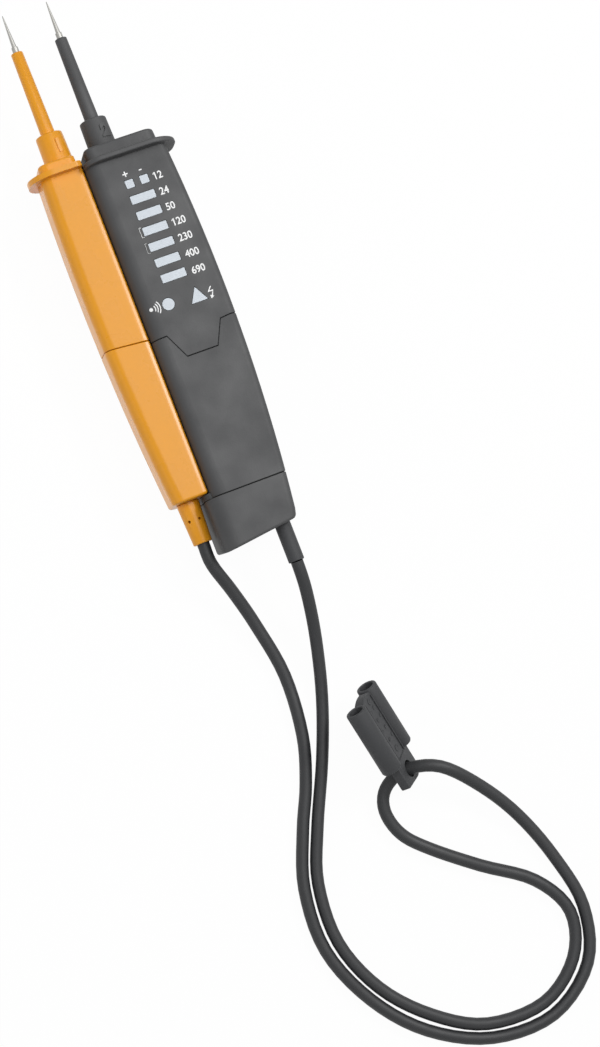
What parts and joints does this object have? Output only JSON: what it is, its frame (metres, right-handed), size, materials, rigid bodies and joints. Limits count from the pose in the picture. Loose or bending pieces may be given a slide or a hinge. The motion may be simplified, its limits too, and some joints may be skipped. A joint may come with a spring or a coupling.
{
  "type": "two-pole voltage tester",
  "caption": "Two-pole voltage tester on its back: a black meter unit with lit voltage windows, an orange second probe docked beside it, a joining cable and a twin tip cover on the cable.",
  "frame": {"origin": "on the surface under the tester, in the middle of its outline without the cable", "axes": "+Y towards the tips, +X towards the meter's free side, +Z out of the front face"},
  "size_m": [0.1118, 0.4628, 0.034],
  "materials": {
    "black_plastic": "fine spark texture",
    "amber_plastic": "satin moulded",
    "window_plastic": "milky diffusing",
    "needle_steel": "ground and plated",
    "spring_steel": "plated",
    "contact_brass": "stamped",
    "board_laminate": "solder mask",
    "chip_resin": "moulded resin",
    "resistor_lacquer": "lacquered",
    "lamp_resin": "clear and yellow resin",
    "inner_plastic": "plain moulded",
    "cell_jacket": "printed jacket",
    "seal_rubber": "smooth",
    "cover_rubber": "satin moulded",
    "cable_sheath": "satin extruded",
    "lead_sheath": "smooth"
  },
  "bodies": {
    "meter": {"upper_housing": "black_plastic", "lower_housing": "black_plastic", "meter_needle": "needle_steel", "meter_sleeve": "black_plastic", "meter_collar": "black_plastic", "voltage_windows": "window_plastic", "sign_windows": "window_plastic", "sound_window": "window_plastic", "danger_window": "window_plastic", "light_frame": "inner_plastic", "lamps": "lamp_resin", "circuit_board": "board_laminate", "processor_chips": "chip_resin", "input_resistors": "resistor_lacquer", "buzzer": "chip_resin", "tip_clip": "contact_brass", "seam_seal": "seal_rubber", "housing_screws": "spring_steel", "battery_tray": "inner_plastic", "battery_cells": "cell_jacket", "battery_contacts": "contact_brass", "screw_insert": "contact_brass", "cable_boot": "seal_rubber", "meter_cable_clamp": "inner_plastic", "meter_cable_tail": "cable_sheath", "meter_leads": "lead_sheath", "connecting_cable": "cable_sheath"},
    "second_probe": {"probe_upper_housing": "amber_plastic", "probe_lower_housing": "amber_plastic", "probe_needle": "needle_steel", "probe_sleeve": "amber_plastic", "probe_collar": "amber_plastic", "probe_board": "board_laminate", "probe_resistors": "resistor_lacquer", "probe_tip_clip": "contact_brass", "probe_seal": "seal_rubber", "probe_screw": "spring_steel", "dock_springs": "spring_steel", "probe_relief": "amber_plastic", "probe_cable_clamp": "inner_plastic", "probe_cable_tail": "cable_sheath", "probe_lead": "lead_sheath"},
    "battery_door": {"battery_cap": "black_plastic", "cap_seal": "seal_rubber", "battery_springs": "spring_steel", "battery_bridge": "spring_steel"},
    "captive_screw": {"cap_screw": "spring_steel"},
    "cover": {"tip_cover": "cover_rubber"}
  },
  "joints": [
    {"name": "probe_undock", "type": "slide", "parent": "meter", "child": "second_probe", "axis": [-1, 0, 0], "range_m": [0, 0.015]},
    {"name": "battery_cap_slide", "type": "slide", "parent": "meter", "child": "battery_door", "axis": [0, -1, 0], "range_m": [0, 0.008]},
    {"name": "cap_screw_turn", "type": "hinge", "parent": "battery_door", "child": "captive_screw", "pos_m": [0.001, -0.1, 0.0215], "axis": [0, 1, 0], "continuous": true},
    {"name": "tip_cover_swing", "type": "hinge", "parent": "meter", "child": "cover", "pos_m": [0.028, -0.2193, 0.0095], "axis": [0.8068, 0.0059, 0.5908], "range_deg": [0, 75]}
  ]
}
